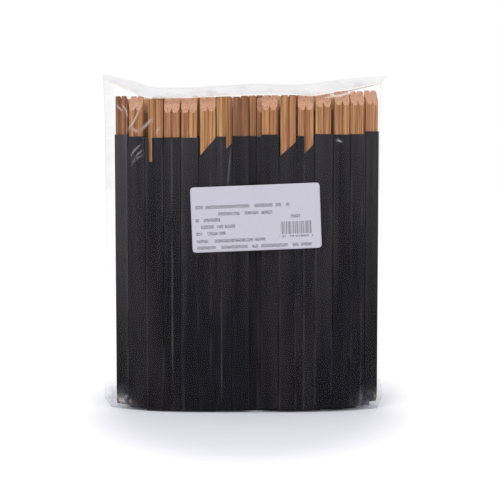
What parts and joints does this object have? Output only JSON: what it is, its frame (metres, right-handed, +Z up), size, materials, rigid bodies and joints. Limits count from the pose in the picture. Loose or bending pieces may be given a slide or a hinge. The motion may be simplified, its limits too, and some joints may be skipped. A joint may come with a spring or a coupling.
{
  "type": "retail pack of bamboo chopsticks",
  "caption": "Sealed clear film bag of bamboo chopstick pairs with slanted ends, each pair in a black half-length paper sleeve, with a blank white label.",
  "frame": {"origin": "middle of the base, where the pack stands", "axes": "+Z up along the chopsticks, +X along the pack's width, -Y towards the labelled face"},
  "size_m": [0.225, 0.0484, 0.258],
  "materials": {
    "bamboo": "sanded, unvarnished",
    "black_paper": "matt",
    "clear_film": "clear, glossy",
    "label_paper": "satin"
  },
  "bodies": {
    "root": {"chopsticks_front_01": "bamboo", "sleeve_front_01": "black_paper", "chopsticks_front_02": "bamboo", "sleeve_front_02": "black_paper", "chopsticks_front_03": "bamboo", "sleeve_front_03": "black_paper", "chopsticks_front_04": "bamboo", "sleeve_front_04": "black_paper", "chopsticks_front_05": "bamboo", "sleeve_front_05": "black_paper", "chopsticks_front_06": "bamboo", "sleeve_front_06": "black_paper", "chopsticks_front_07": "bamboo", "sleeve_front_07": "black_paper", "chopsticks_front_08": "bamboo", "sleeve_front_08": "black_paper", "chopsticks_front_09": "bamboo", "sleeve_front_09": "black_paper", "chopsticks_front_10": "bamboo", "sleeve_front_10": "black_paper", "chopsticks_front_11": "bamboo", "sleeve_front_11": "black_paper", "chopsticks_front_12": "bamboo", "sleeve_front_12": "black_paper", "chopsticks_front_13": "bamboo", "sleeve_front_13": "black_paper", "chopsticks_front_14": "bamboo", "sleeve_front_14": "black_paper", "chopsticks_front_15": "bamboo", "sleeve_front_15": "black_paper", "chopsticks_row_2": "bamboo", "sleeves_row_2": "black_paper", "chopsticks_row_3": "bamboo", "sleeves_row_3": "black_paper", "chopsticks_row_4": "bamboo", "sleeves_row_4": "black_paper", "chopsticks_row_5": "bamboo", "sleeves_row_5": "black_paper", "chopsticks_row_6": "bamboo", "sleeves_row_6": "black_paper", "chopsticks_row_7": "bamboo", "sleeves_row_7": "black_paper", "chopsticks_row_8": "bamboo", "sleeves_row_8": "black_paper", "bag": "clear_film", "label": "label_paper"}
  },
  "joints": []
}
